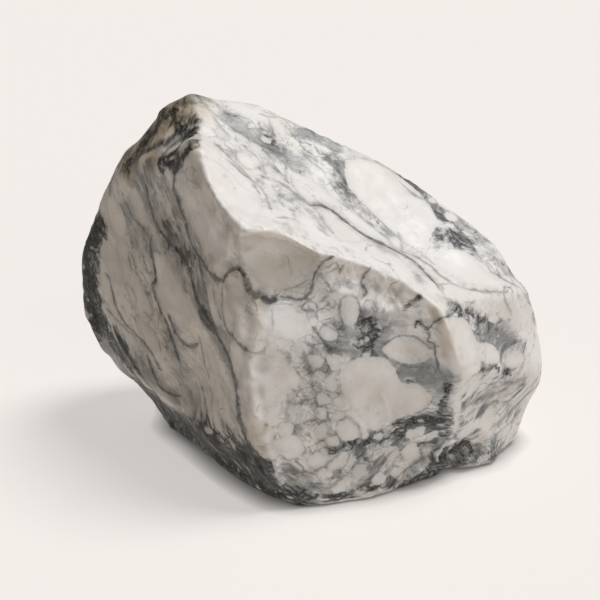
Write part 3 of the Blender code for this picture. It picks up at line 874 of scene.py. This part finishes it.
def vein_field(points, ways, veins):
    """Signed distance, distance, half width and darkness of the nearest vein of one group, at each point."""
    field = np.zeros((len(points), 4))
    field[:, :2] = NO_VEIN
    for path, half, dark in veins:
        close = near(points, path, REACH)
        distance, along, gap, step = from_path(points[close], path)
        side = np.sign((np.cross(step, ways[close]) * gap).sum(axis=1))
        taper = softly(np.minimum(along, 1 - along) * TAPER + TAPER_END)
        nearer = distance < field[close, 1]
        rows = close[nearer]
        field[rows, 0] = (side * distance)[nearer]
        field[rows, 1] = distance[nearer]
        field[rows, 2] = (half * taper)[nearer]
        field[rows, 3] = dark
    return field


def soft_field(points, ways, tree, strokes):
    """How strongly soft strokes cover each point: it falls evenly from a stroke's middle to its edge, and
    it doesn't reach over a sharp edge of the stone."""
    field = np.zeros(len(points))
    for path, half, strength in strokes:
        close = near(points, path, 2 * half)
        distance, along, _, _ = from_path(points[close], path)
        facing = np.array([tree.find_nearest(Vector(p))[1] for p in path])
        nearest = np.rint(along * (len(path) - 1)).astype(int)
        agreement = softly(((ways[close] * facing[nearest]).sum(axis=1) - TURNED) / COMING)
        cover_here = strength * agreement * np.clip(1 - distance / (2 * half), 0, 1)
        field[close] = np.maximum(field[close], cover_here)
    return field


def outline_of(u, v, length, height, turn):
    """The outline of a rounded clast, a little uneven."""
    chance = random.Random(int(u * 1000 + v))
    a = math.radians(turn)
    out = []
    for i in range(OUTLINE_SIDES):
        angle = 2 * math.pi * i / OUTLINE_SIDES
        size = chance.uniform(*OUTLINE_UNEVEN)
        x, y = length * size * math.cos(angle), height * size * math.sin(angle)
        out.append((u + x * math.cos(a) - y * math.sin(a), v + x * math.sin(a) + y * math.cos(a)))
    return out


def inside_outline(pixels, outline):
    inside = np.zeros(len(pixels), bool)
    for (x0, y0), (x1, y1) in zip(outline, outline[1:] + outline[:1]):
        if y0 == y1:
            continue
        crosses = (pixels[:, 1] > y0) != (pixels[:, 1] > y1)
        at = x0 + (pixels[:, 1] - y0) * (x1 - x0) / (y1 - y0)
        inside ^= crosses & (pixels[:, 0] < at)
    return inside


def seen_clasts(points, seen, tree):
    """How deep inside a named clast each point is, in metres, negative outside, and that clast's tone."""
    field = np.full(len(points), -REACH)
    tone = np.zeros(len(points))
    pixels = pixels_of(points)
    outlines = list(CLASTS.values())
    outlines += [(grey, outline_of(*shape)) for *shape, grey in PEBBLES + SLIVERS]
    for grey, outline in outlines:
        path = path_on_stone(tree, outline, closed=True)
        close = near(points, path, REACH)
        distance = from_path(points[close], path)[0]
        inside = inside_outline(pixels[close], curved([*outline, outline[0]])) & (seen[close] > 0)
        depth = np.where(inside, distance, -distance)
        better = depth > field[close]
        field[close[better]] = depth[better]
        tone[close[better]] = grey
    return field, tone


def add_hidden_clasts(points, seen, chance, field, tone):
    """Rounded clasts, flattened in the layers, where the camera doesn't see the stone."""
    hidden = list(np.flatnonzero(seen < OUT_OF_VIEW))
    across = np.array(BEDDING.normalized())
    for _ in range(HIDDEN_CLASTS):
        off = points - points[chance.choice(hidden)]
        radius = chance.choice(CLAST_RADII) * MM * chance.uniform(*CLAST_SIZES)
        flat = chance.uniform(*CLAST_FLATNESS)
        up = off @ across
        depth = radius - np.sqrt(np.maximum((off**2).sum(axis=1) - up**2, 0) + (up * flat) ** 2)
        better = (depth > field) & (seen < CLAST_IN_VIEW)
        field[better] = depth[better]
        tone[better] = chance.uniform(*CLAST_TONES)


def bedding_coords(points, tree):
    """The stone's own coordinates, in which its clasts would be round."""
    turned = points.copy()
    for u, v, radius, degrees in TWISTS:
        middle, axis = (np.array(found) for found in tree.find_nearest(on_stone(tree, u, v))[:2])
        off = turned - middle
        share = softly(1 - np.linalg.norm(off, axis=1) / (radius * MM))
        angle = (share * math.radians(degrees))[:, None]
        up = (off @ axis)[:, None] * axis
        turned = middle + up + (off - up) * np.cos(angle) + np.cross(axis, off) * np.sin(angle)
    to_layers = np.array(BEDDING.to_track_quat("Z", "X").to_matrix().inverted())
    out = turned @ to_layers.T
    out[:, 2] *= FLATTENED
    return out


def keep(data, name, values):
    """Stores values as an attribute of the vertices: one, three or four numbers each."""
    width = 1 if values.ndim == 1 else values.shape[1]
    kind, key = {1: ("FLOAT", "value"), 3: ("FLOAT_VECTOR", "vector"), 4: ("FLOAT_COLOR", "color")}[width]
    layer = data.attributes.new(name, kind, "POINT")
    layer.data.foreach_set(key, np.ascontiguousarray(values, dtype=np.float32).ravel())


def mark(data, tree):
    """Works out the markings, and keeps them as attributes."""
    points, ways = coords(data), normals(data)
    seen = seen_from_camera(points, ways, tree)
    chance = random.Random(HIDDEN_SEED)

    veins = strokes_on_stone(tree, VEINS)
    for path in hidden_paths(tree, points, seen, HIDDEN_VEINS, VEIN_LENGTHS, HIDDEN_SEED + 1):
        veins.append((path, chance.choice(VEIN_HALVES) * MM, chance.uniform(*VEIN_DARKNESS)))
    for number, group in enumerate(grouped(veins)):
        keep(data, f"veins_{number}", vein_field(points, ways, group))

    fields = {}
    kinds = enumerate(SOFT_STROKES.items(), HIDDEN_SEED + 2)
    for seed, (name, (named, count, lengths, halves, strengths)) in kinds:
        strokes = strokes_on_stone(tree, named)
        for path in hidden_paths(tree, points, seen, count, lengths, seed):
            strokes.append((path, chance.uniform(*halves) * MM, chance.uniform(*strengths)))
        fields[name] = soft_field(points, ways, tree, strokes)
    keep(data, "zones", np.stack([fields[name] for name in ZONES], axis=1))
    keep(data, "brushed", fields["brushed"])
    keep(data, "pale", fields["pale"])

    clast, tone = seen_clasts(points, seen, tree)
    add_hidden_clasts(points, seen, chance, clast, tone)
    keep(data, "clast", clast)
    keep(data, "tone", tone)
    keep(data, "bedding", bedding_coords(points, tree))


class Nodes:
    """Short names for the shader nodes that the materials are made of."""

    def __init__(self, tree):
        self.tree = tree

    def add(self, kind, **settings):
        node = self.tree.nodes.new(kind)
        for name, value in settings.items():
            setattr(node, name, value)
        return node

    def plug(self, socket, value):
        if isinstance(value, bpy.types.NodeSocket):
            self.tree.links.new(value, socket)
        else:
            socket.default_value = value

    def math(self, operation, a, b=0.0):
        node = self.add("ShaderNodeMath", operation=operation)
        self.plug(node.inputs[0], a)
        self.plug(node.inputs[1], b)
        return node.outputs[0]

    def times(self, a, b):
        return self.math("MULTIPLY", a, b)

    def plus(self, a, b):
        return self.math("ADD", a, b)

    def less(self, a, b):
        return self.math("SUBTRACT", a, b)

    def size(self, value):
        return self.math("ABSOLUTE", value)

    def most(self, *values):
        out = values[0]
        for value in values[1:]:
            out = self.math("MAXIMUM", out, value)
        return out

    def step(self, value, low, high, start=0.0, end=1.0):
        """Goes smoothly from start to end as value goes from low to high."""
        node = self.add("ShaderNodeMapRange", interpolation_type="SMOOTHSTEP")
        for socket, given in zip(node.inputs, (value, low, high, start, end)):
            self.plug(socket, given)
        return node.outputs[0]

    def fall(self, value, low, high):
        """Goes smoothly from 1 to 0 as value goes from low to high."""
        return self.less(1.0, self.step(value, low, high))

    def attribute(self, name):
        return self.add("ShaderNodeAttribute", attribute_name=name)

    def split(self, colour):
        node = self.add("ShaderNodeSeparateColor")
        self.plug(node.inputs[0], colour)
        return node.outputs[:3]

    def noise(self, place, size, detail=3.0, roughness=0.55, distortion=0.0):
        node = self.add("ShaderNodeTexNoise")
        self.plug(node.inputs["Vector"], place)
        node.inputs["Scale"].default_value = 1 / size
        node.inputs["Detail"].default_value = detail
        node.inputs["Roughness"].default_value = roughness
        node.inputs["Distortion"].default_value = distortion
        return node

    def around_zero(self, noise, amount):
        """Noise as a shift to either side of nought, by up to about half the amount."""
        return self.times(self.less(noise.outputs[0], 0.5), amount)

    def cells(self, place, size, feature="DISTANCE_TO_EDGE"):
        node = self.add("ShaderNodeTexVoronoi", feature=feature)
        self.plug(node.inputs["Vector"], place)
        node.inputs["Scale"].default_value = 1 / size
        return node

    def to_cell_edge(self, place, size):
        """How far a place is from the edge of its cell, in metres."""
        return self.times(self.cells(place, size).outputs[0], size)

    def vector(self, operation, a, b):
        node = self.add("ShaderNodeVectorMath", operation=operation)
        self.plug(node.inputs[0], a)
        self.plug(node.inputs["Scale" if operation == "SCALE" else 1], b)
        return node.outputs[0]

    def strayed(self, place, size, amount, where):
        """Place, moved about by noise."""
        shift = self.vector("SUBTRACT", self.noise(where, size, 2.0).outputs["Color"], (0.5, 0.5, 0.5))
        return self.vector("ADD", place, self.vector("SCALE", shift, amount))

    def colour(self, share, a, b, blend="MIX"):
        node = self.add("ShaderNodeMix", data_type="RGBA", blend_type=blend)
        self.plug(node.inputs["Factor"], share)
        self.plug(node.inputs["A"], a)
        self.plug(node.inputs["B"], b)
        return node.outputs["Result"]

    def ramp(self, value, first, *stops):
        """A colour that turns smoothly into each stop's as value goes from the stop's low to its high."""
        out = first
        for low, high, colour in stops:
            out = self.colour(self.step(value, low, high), out, colour)
        return out


WHITE = (0.72, 0.698, 0.683, 1)
WARM_WHITE = (0.68, 0.64, 0.60, 1)
PALE_GREY = (0.42, 0.42, 0.41, 1)
BLUE_GREY = (0.22, 0.228, 0.23, 1)
DARK_GREY = (0.075, 0.077, 0.077, 1)
BLACK = (0.014, 0.014, 0.014, 1)
NO_TINT = (1, 1, 1, 1)
# The tan and brown tints colour the tan strokes, which are mostly painted warm shade.
TAN_TONE_AND_SHADE_TINT = (0.84, 0.77, 0.66, 1)
BROWN_TONE_AND_SHADE_TINT = (0.78, 0.67, 0.52, 1)
GLOSS = (0.42, 0.56)  # the roughness of the satin finish, from place to place
SHEEN = 0.4  # how strongly the stone reflects
GRAIN_STRENGTH, GRAIN_HEIGHT = 0.5, 0.35 * MM

FLOOR_SIZE = 60
FLOOR_COLOUR = (0.32, 0.305, 0.293, 1)
FLOOR_ROUGHNESS, FLOOR_SHEEN = 0.9, 0.1
GLOW, GLOW_STRENGTH = (1.0, 0.955, 0.915, 1), 0.56  # the floor's own light, to match the backdrop's tone
# Painted contact shadow: ambient occlusion dims the floor's glow within this distance of the stone.
CONTACT_SHADE_REACH = 0.02  # nearer to the stone than this, the floor glows less
BACKDROP = (0.887, 0.847, 0.815, 1)
ALL_ROUND, ALL_ROUND_STRENGTH = (1, 0.98, 0.96, 1), 0.055  # the weak light from every side
SUNS = {  # the direction in which each sun stands, its strength, its width in degrees and its colour
    "key": ((0.37, 0.19, 0.91), 3.15, 27, (1.0, 0.995, 0.99)),
    "fill": ((0.53, -0.78, 0.33), 0.74, 50, (1.0, 0.94, 0.87)),
}


def one_group(n, number, stray, swell, blur):
    """How much of a vein's core and of its grey border shows, for the veins of one group."""
    vein = n.attribute(f"veins_{number}")
    signed, distance, half = n.split(vein.outputs["Color"])
    width = n.times(half, swell)
    off = n.size(n.plus(signed, stray))
    line = n.fall(off, n.times(width, 0.2), n.plus(width, blur))
    starts = n.plus(n.times(width, 2.0), 3 * MM)
    ends = n.plus(n.times(width, 2.5), 5 * MM)
    there = n.fall(distance, starts, ends)
    on = n.times(vein.outputs["Alpha"], n.step(half, 0.1 * MM, 0.5 * MM))
    border = n.fall(off, 0.0, n.plus(n.times(width, 3.2), 1.5 * MM))
    return n.times(n.times(line, there), on), n.times(border, n.times(on, there))


def drawn_veins(n, place):
    """The veins that are drawn as strokes, made to stray, swell, fade and blur by noise."""
    stray = n.plus(
        n.around_zero(n.noise(place, 13 * MM, 4.0, 0.6), 6 * MM),
        n.around_zero(n.noise(place, 4 * MM, 3.0, 0.65), 2.6 * MM),
    )
    swell = n.step(n.noise(place, 11 * MM, 3.0, 0.6).outputs[0], 0.3, 0.7, 0.4, 1.8)
    fade = n.step(n.noise(place, 21 * MM, 2.0).outputs[0], 0.34, 0.56, 0.4, 1.0)
    blur = n.step(n.noise(place, 17 * MM, 2.0).outputs[0], 0.3, 0.7, 0.3 * MM, 1.3 * MM)
    groups = [one_group(n, number, stray, swell, blur) for number in range(VEIN_GROUPS)]
    cores, borders = zip(*groups)
    core = n.most(*cores)
    bold_stays = n.most(n.step(core, 0.55, 0.75), fade)
    return n.times(core, bold_stays), n.times(n.most(*borders), fade)


class Marble:
    """Grey-veined white breccia marble with a satin finish. Each layer is laid over the ones before it."""

    def __init__(self, n):
        self.n = n
        self.place = n.add("ShaderNodeTexCoord").outputs["Object"]
        zones = n.attribute("zones")
        # The tan share is mostly painted warm shade on faces turned from the light.
        self.band, self.cloud, self.tan = n.split(zones.outputs["Color"])
        self.web = zones.outputs["Alpha"]
        self.clast = n.attribute("clast").outputs["Fac"]
        self.tone = n.attribute("tone").outputs["Fac"]
        self.brushed = n.attribute("brushed").outputs["Fac"]
        self.pale = n.attribute("pale").outputs["Fac"]
        bedding = n.attribute("bedding").outputs["Vector"]
        self.strayed = n.strayed(bedding, 45 * MM, 26 * MM, self.place)
        self.rough = n.strayed(self.strayed, 9 * MM, 5 * MM, self.place)
        self.layers = n.vector("MULTIPLY", self.strayed, (1.0, 1.0, 2.2))
        loose = n.vector("MULTIPLY", self.rough, (1.0, 1.0, 1.4))
        self.patchy = n.noise(self.rough, 24 * MM, 6.0, 0.62)
        self.grain = n.noise(self.place, 7 * MM, 6.0, 0.66)
        self.streak = n.noise(self.layers, 26 * MM, 7.0, 0.60)
        self.mottle = n.noise(loose, 22 * MM, 8.0, 0.66)

    def frayed(self, zone, patchy, streaky):
        """How strongly a soft stroke shows, once patches and streaks have broken it up."""
        n = self.n
        return n.plus(zone, n.plus(n.around_zero(self.patchy, patchy), n.around_zero(self.streak, streaky)))

    def threads(self, size, thickness):
        """Thin lines along the layers: 1 on a thread, 0 between."""
        n = self.n
        texture = n.noise(self.layers, size, 4.0, 0.58, 0.5)
        return n.fall(n.size(n.around_zero(texture, 1.0)), 0.0, thickness)

    def ground(self):
        """White with faint warm and grey clouds."""
        n = self.n
        warmth = n.step(n.noise(self.strayed, 60 * MM, 3.0).outputs[0], 0.42, 0.70)
        self.white = n.colour(n.times(warmth, 0.7), WHITE, WARM_WHITE)
        self.faint = n.step(self.patchy.outputs[0], 0.46, 0.72)
        return n.colour(n.times(self.faint, 0.4), self.white, PALE_GREY)

    def part_clasts(self):
        """How far inside a clast a point is, with an uneven edge that frays along the layers."""
        n = self.n
        uneven = n.plus(
            n.around_zero(n.noise(self.place, 15 * MM, 3.0, 0.6), 7 * MM),
            n.around_zero(n.noise(self.place, 4 * MM, 3.0, 0.6), 2.5 * MM),
        )
        self.depth = n.plus(self.clast, n.plus(uneven, n.around_zero(self.streak, 5 * MM)))
        self.inside = n.step(self.depth, -0.8 * MM, 1.8 * MM)
        self.outside = n.less(1.0, self.inside)

    def clouds(self, colour):
        """Soft blue-grey clouds, without specks, that hardly show on clasts."""
        n = self.n
        clouded = n.step(self.frayed(self.cloud, 1.3, 1.4), 0.08, 0.85)
        clouded = n.times(clouded, n.plus(0.12, n.times(self.outside, 0.88)))
        grey = n.ramp(self.streak.outputs[0], BLUE_GREY, (0.40, 0.66, PALE_GREY))
        return n.colour(n.times(clouded, 0.95), colour, grey)

    def silk(self, colour):
        """Brushed places: soft streaks along the layers, from dark grey to white."""
        n = self.n
        brush = n.plus(self.brushed, n.around_zero(self.patchy, 1.4))
        brush = n.times(n.step(brush, 0.10, 0.50), n.less(1.0, n.times(self.inside, 0.9)))
        silky = n.plus(n.times(self.streak.outputs[0], 0.7), n.times(self.mottle.outputs[0], 0.3))
        silk = n.ramp(
            silky, DARK_GREY, (0.36, 0.45, BLUE_GREY), (0.40, 0.50, PALE_GREY), (0.46, 0.56, self.white)
        )
        return n.colour(n.times(brush, 0.9), colour, silk)

    def matrix(self, banded, speckle):
        """The dark, crackled ground of a band, with pale threads and small pale chips in it."""
        n = self.n
        matrix = n.ramp(
            speckle, BLACK, (0.40, 0.50, DARK_GREY), (0.47, 0.56, BLUE_GREY), (0.54, 0.60, PALE_GREY),
            (0.59, 0.65, WARM_WHITE),
        )
        matrix = n.colour(n.step(banded, 1.0, 1.9, 0.0, 0.45), matrix, BLACK)
        crackle = n.fall(n.to_cell_edge(self.rough, 12 * MM), 0.3 * MM, 2.2 * MM)
        matrix = n.colour(n.times(crackle, 0.9), matrix, BLACK)
        matrix = n.colour(n.times(self.threads(13 * MM, 0.016), 0.5), matrix, PALE_GREY)
        chip = n.cells(self.rough, 9 * MM, "F1")
        chip_on = n.step(n.split(chip.outputs["Color"])[0], 0.82, 0.86)
        chip_in = n.fall(chip.outputs["Distance"], 0.18, 0.46)
        return n.colour(n.times(n.times(chip_on, chip_in), 0.6), matrix, WARM_WHITE)

    def bands(self, colour):
        """Dark speckled bands, which fade out in soft grey and in dark threads."""
        n = self.n
        banded = self.frayed(self.band, 2.2, 2.0)
        speckle = n.plus(n.times(self.mottle.outputs[0], 0.65), n.times(self.streak.outputs[0], 0.35))
        speckle = n.less(speckle, n.step(banded, 0.6, 1.4, 0.0, 0.05))
        soft_matrix = n.ramp(speckle, BLUE_GREY, (0.42, 0.56, PALE_GREY), (0.50, 0.60, self.white))
        pale_band = n.times(n.step(banded, 0.05, 0.60), self.outside)
        colour = n.colour(n.times(pale_band, 0.85), colour, soft_matrix)
        dark_place = n.step(n.plus(self.band, n.times(self.cloud, 0.6)), 0.02, 0.4)
        dark_threads = n.times(n.times(self.threads(21 * MM, 0.030), dark_place), self.outside)
        colour = n.colour(n.times(dark_threads, 0.4), colour, DARK_GREY)
        self.dark_band = n.times(n.step(banded, 0.36, 0.64), n.less(1.0, n.times(self.inside, 0.93)))
        return n.colour(self.dark_band, colour, self.matrix(banded, speckle))

    def pales_and_highlights(self, colour):
        """Pale streaks over the dark ones, some of them painted highlights on edges and faces that catch the
        light.
        """
        n = self.n
        much = n.step(self.frayed(self.pale, 1.2, 2.0), 0.15, 0.60)
        return n.colour(n.times(much, 0.9), colour, self.white)

    def small_web(self):
        """Lines between the small clasts of the webbed places."""
        n = self.n
        flat = n.vector("MULTIPLY", self.rough, (1.0, 1.0, 1.35))
        width = n.step(self.patchy.outputs[0], 0.38, 0.66, 0.0, 3.4 * MM)
        line = n.fall(n.to_cell_edge(flat, 17 * MM), 0.0, n.plus(width, 0.5 * MM))
        line = n.times(line, n.step(self.mottle.outputs[0], 0.62, 0.42, 0.25, 1.0))
        webbed = n.step(n.plus(self.web, n.around_zero(self.patchy, 1.6)), 0.15, 0.6)
        return n.times(line, webbed)

    def large_web(self):
        """A weaker and wider network everywhere."""
        n = self.n
        width = n.step(n.noise(self.place, 33 * MM, 3.0).outputs[0], 0.47, 0.72, 0.0, 1.6 * MM)
        edge = n.to_cell_edge(self.rough, 46 * MM)
        line = n.fall(edge, n.times(width, 0.3), n.plus(width, 0.7 * MM))
        return n.times(line, n.step(width, 0.1 * MM, 0.9 * MM))

    def clast_rims(self):
        """Broken grey rims round the clasts, strongest in webs and bands."""
        n = self.n
        rim = n.fall(n.size(n.plus(self.depth, 0.9 * MM)), 0.2 * MM, 1.5 * MM)
        rim = n.times(rim, n.step(n.noise(self.place, 16 * MM, 2.0).outputs[0], 0.42, 0.60))
        return n.times(rim, n.step(n.plus(self.web, self.band), 0.05, 0.4, 0.15, 0.8))

    def webs(self, colour):
        """Grey lines between clasts and round them."""
        n = self.n
        network = n.most(
            n.times(self.small_web(), 0.85), n.times(self.large_web(), 0.45), n.times(self.clast_rims(), 0.55)
        )
        lines = n.ramp(self.grain.outputs[0], DARK_GREY, (0.35, 0.6, BLUE_GREY))
        return n.colour(n.times(network, n.plus(0.08, n.times(self.outside, 0.92))), colour, lines)

    def clasts(self, colour):
        """Clasts keep their own tone, a little greyer towards their edges; the brow's grey is painted shade.
        """
        n = self.n
        near_edge = n.step(self.depth, 0.0, 7 * MM, 0.30, 0.0)
        grey = n.plus(n.plus(self.tone, n.times(self.faint, 0.16)), near_edge)
        return n.colour(n.times(self.inside, 0.82), colour, n.colour(grey, self.white, PALE_GREY))

    def veins(self, colour):
        """The drawn veins, and very thin and broken hair veins everywhere."""
        n = self.n
        core, border = drawn_veins(n, self.place)
        mottle = n.step(self.grain.outputs[0], 0.30, 0.60, 1.0, 0.6)
        colour = n.colour(n.times(border, 0.42), colour, BLUE_GREY)
        colour = n.colour(n.times(core, mottle), colour, BLACK)
        hair = n.size(n.around_zero(n.noise(self.strayed, 60 * MM, 5.0, 0.6), 1.0))
        hair_on = n.step(n.noise(self.place, 26 * MM, 2.0).outputs[0], 0.46, 0.64)
        hair_line = n.times(n.fall(hair, 0.0, 0.010), hair_on)
        return n.colour(n.times(hair_line, 0.3), colour, DARK_GREY)

    def tinted_tone_and_shade(self, colour):
        """Tan tints, mostly painted warm shade on faces turned from the light and partly the stone's warm
        tone; brown where they are strongest.
        """
        n = self.n
        much = n.step(n.plus(self.tan, n.around_zero(self.patchy, 0.8)), 0.1, 0.9)
        tint = n.colour(n.times(much, 0.8), NO_TINT, TAN_TONE_AND_SHADE_TINT)
        tint = n.colour(n.step(self.tan, 1.0, 1.5), tint, BROWN_TONE_AND_SHADE_TINT)
        return n.colour(1.0, colour, tint, "MULTIPLY")

    def roughness(self):
        """A satin finish, a little rougher in the dark matrix."""
        n = self.n
        gloss = n.step(n.noise(self.place, 12 * MM, 4.0, 0.6).outputs[0], 0.3, 0.7, *GLOSS)
        return n.plus(gloss, n.times(self.dark_band, 0.08))

    def grained(self):
        """A grain too fine to be modelled."""
        n = self.n
        bump = n.add("ShaderNodeBump")
        bump.inputs["Strength"].default_value = GRAIN_STRENGTH
        bump.inputs["Distance"].default_value = GRAIN_HEIGHT
        n.plug(bump.inputs["Height"], n.noise(self.place, 5 * MM, 5.0, 0.6).outputs[0])
        return bump.outputs[0]


def new_material(name):
    """A material with its nodes and its shader."""
    material = bpy.data.materials.new(name)
    material.use_nodes = True
    return material, Nodes(material.node_tree), material.node_tree.nodes["Principled BSDF"]


def marble():
    material, n, shader = new_material("marble")
    look = Marble(n)
    colour = look.ground()
    look.part_clasts()
    # Two of the layers paint light and shade: pale highlights on lit edges, and warm tan shade on faces
    # turned from the light.
    layers = (look.clouds, look.silk, look.bands, look.pales_and_highlights, look.webs, look.clasts, look.veins, look.tinted_tone_and_shade)
    for layer in layers:
        colour = layer(colour)
    n.plug(shader.inputs["Base Color"], colour)
    n.plug(shader.inputs["Roughness"], look.roughness())
    shader.inputs["Specular IOR Level"].default_value = SHEEN
    n.plug(shader.inputs["Normal"], look.grained())
    return material


def floor():
    """A wide pale floor with a faint glow of its own, which ambient occlusion dims near the stone as painted
    contact shadow.
    """
    bpy.ops.mesh.primitive_plane_add(size=FLOOR_SIZE)
    plane = bpy.context.object
    plane.name = "floor"
    material, n, shader = new_material("pale_floor")
    shader.inputs["Base Color"].default_value = FLOOR_COLOUR
    shader.inputs["Roughness"].default_value = FLOOR_ROUGHNESS
    shader.inputs["Specular IOR Level"].default_value = FLOOR_SHEEN
    shader.inputs["Emission Strength"].default_value = GLOW_STRENGTH
    # Painted contact shadow on the floor, from ambient occlusion.
    shade = n.add("ShaderNodeAmbientOcclusion")
    shade.inputs["Distance"].default_value = CONTACT_SHADE_REACH
    shade.inputs["Color"].default_value = GLOW
    n.plug(shader.inputs["Emission Color"], shade.outputs["Color"])
    plane.data.materials.append(material)


def sun(name, toward, strength, width, colour):
    light = bpy.data.lights.new(name, "SUN")
    light.energy = strength
    light.angle = math.radians(width)
    light.color = colour
    lamp = bpy.data.objects.new(name, light)
    bpy.context.scene.collection.objects.link(lamp)
    lamp.rotation_mode = "QUATERNION"
    lamp.rotation_quaternion = Vector(toward).to_track_quat("Z", "Y")


def light_up():
    """Two suns, a weak light from all round, and a backdrop that only the camera sees."""
    for name, settings in SUNS.items():
        sun(name, *settings)
    world = bpy.data.worlds.new("studio")
    bpy.context.scene.world = world
    world.use_nodes = True
    n = Nodes(world.node_tree)
    lit = world.node_tree.nodes["Background"]
    lit.inputs["Color"].default_value = ALL_ROUND
    lit.inputs["Strength"].default_value = ALL_ROUND_STRENGTH
    backdrop = n.add("ShaderNodeBackground")
    backdrop.inputs["Color"].default_value = BACKDROP
    mix = n.add("ShaderNodeMixShader")
    n.plug(mix.inputs[0], n.add("ShaderNodeLightPath").outputs["Is Camera Ray"])
    n.plug(mix.inputs[1], lit.outputs[0])
    n.plug(mix.inputs[2], backdrop.outputs[0])
    n.plug(world.node_tree.nodes["World Output"].inputs["Surface"], mix.outputs[0])


def camera():
    data = bpy.data.cameras.new("camera")
    data.lens = LENS
    data.sensor_width = SENSOR
    viewer = bpy.data.objects.new("camera", data)
    bpy.context.scene.collection.objects.link(viewer)
    viewer.location = CAMERA
    viewer.rotation_mode = "QUATERNION"
    viewer.rotation_quaternion = (LOOKS_AT - CAMERA).to_track_quat("-Z", "Y")
    bpy.context.scene.camera = viewer


camera()
stone_mesh = cover(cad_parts["marble_block"])
stone = bpy.data.objects.new("marble_stone", stone_mesh)
bpy.context.scene.collection.objects.link(stone)
carve(stone_mesh, tree_of(stone))
mark(stone_mesh, tree_of(stone))
stone_mesh.materials.append(marble())
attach(stone, "root")
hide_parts("marble_block")
floor()
light_up()
bpy.context.scene.view_settings.view_transform = "Standard"
